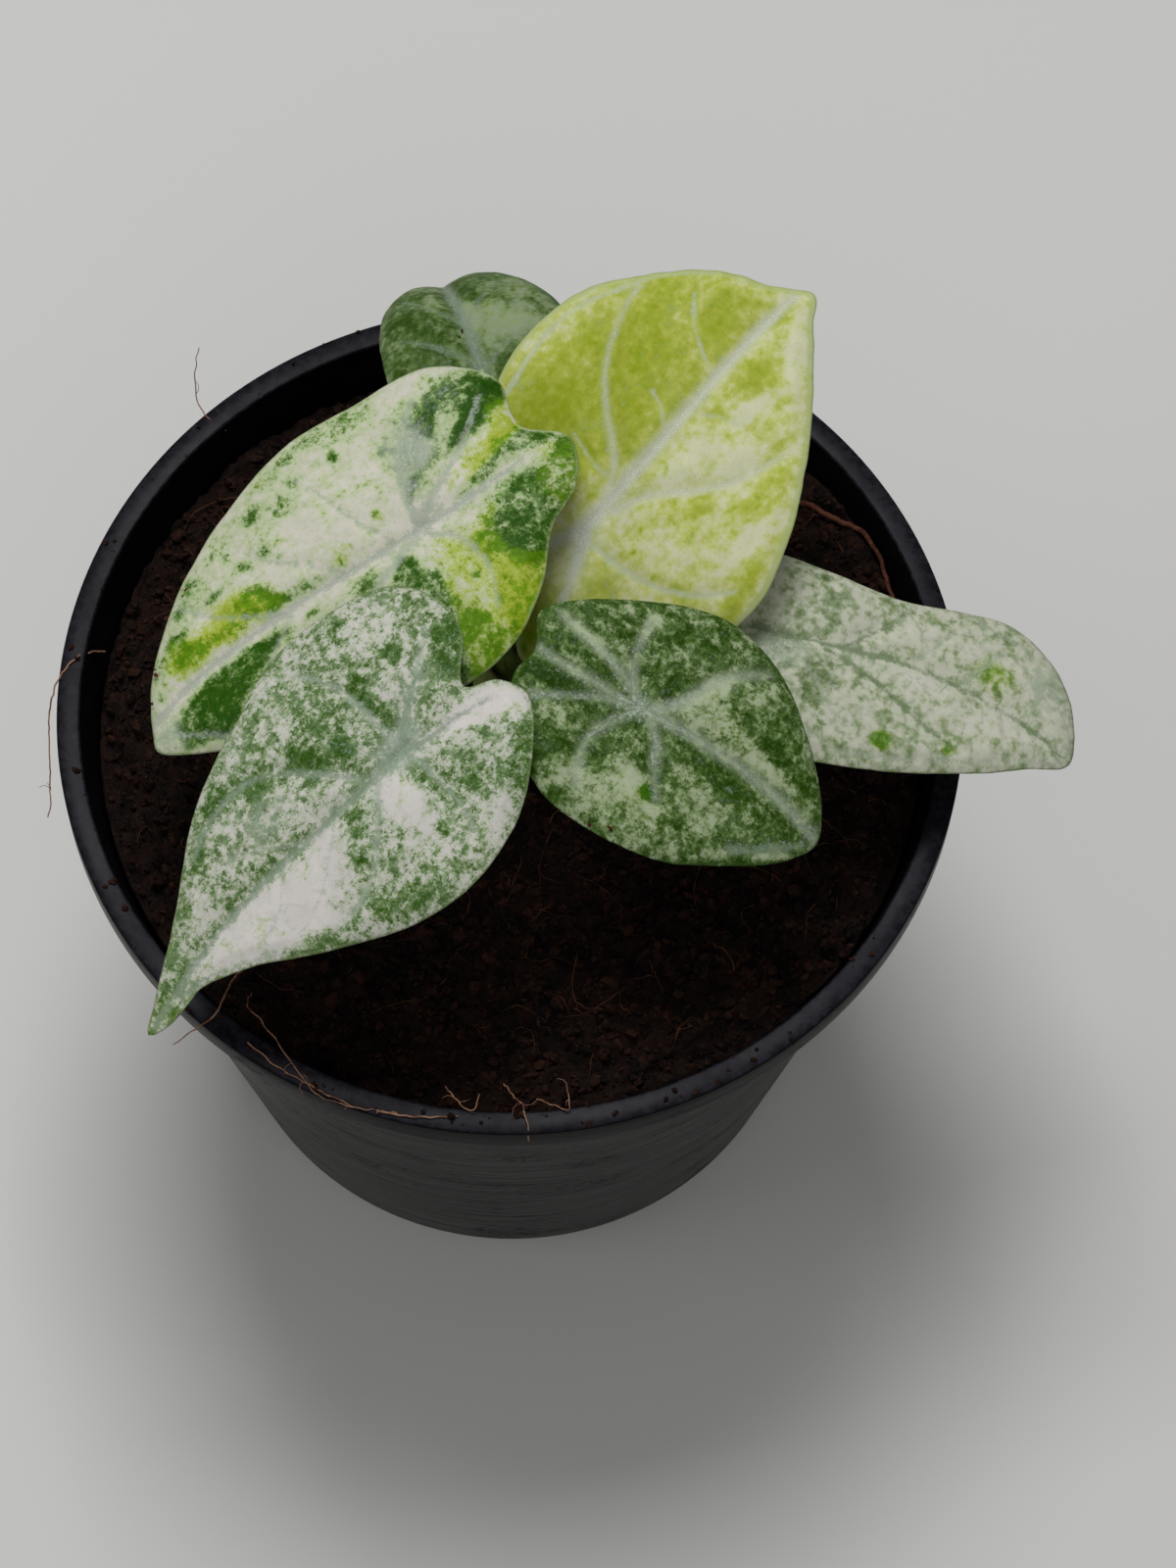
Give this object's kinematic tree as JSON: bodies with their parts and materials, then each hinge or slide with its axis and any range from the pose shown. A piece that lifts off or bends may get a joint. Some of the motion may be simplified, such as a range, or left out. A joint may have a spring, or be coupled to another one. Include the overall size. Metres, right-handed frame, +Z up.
{
  "type": "potted ninja tricolor alocasia",
  "caption": "Young variegated alocasia: heart-shaped, marbled green, lime and cream leaves on short stalks, in potting mix in a round tapered nursery pot.",
  "frame": {"origin": "centre of the pot's underside, on the surface it stands on", "axes": "+Z up, out of the pot; +Y away from the viewer of the picture; +X to the viewer's right"},
  "size_m": [0.1115, 0.1002, 0.1125],
  "materials": {
    "pot_plastic": "thin black moulded plastic, satin, with light scuffs",
    "potting_mix": "dark damp coir and bark crumbs, matt",
    "crown": "green stem base with papery brown sheaths, satin",
    "leaf_dark": "dark green leaf marbled pale green, finely grained satin",
    "leaf_lime": "lime leaf with silvery white veins, finely grained satin",
    "leaf_cream": "cream leaf with lime and dark green patches, finely grained satin",
    "leaf_white": "white leaf densely speckled green, grey-green veins, finely grained satin"
  },
  "bodies": {
    "root": {"pot": "pot_plastic", "potting_mix": "potting_mix", "crown": "crown", "leaf_back_dark": "leaf_dark", "leaf_lime_upright": "leaf_lime", "leaf_left_cream": "leaf_cream", "leaf_front_white": "leaf_white", "leaf_centre_dark": "leaf_dark", "leaf_right_white": "leaf_white"}
  },
  "joints": []
}
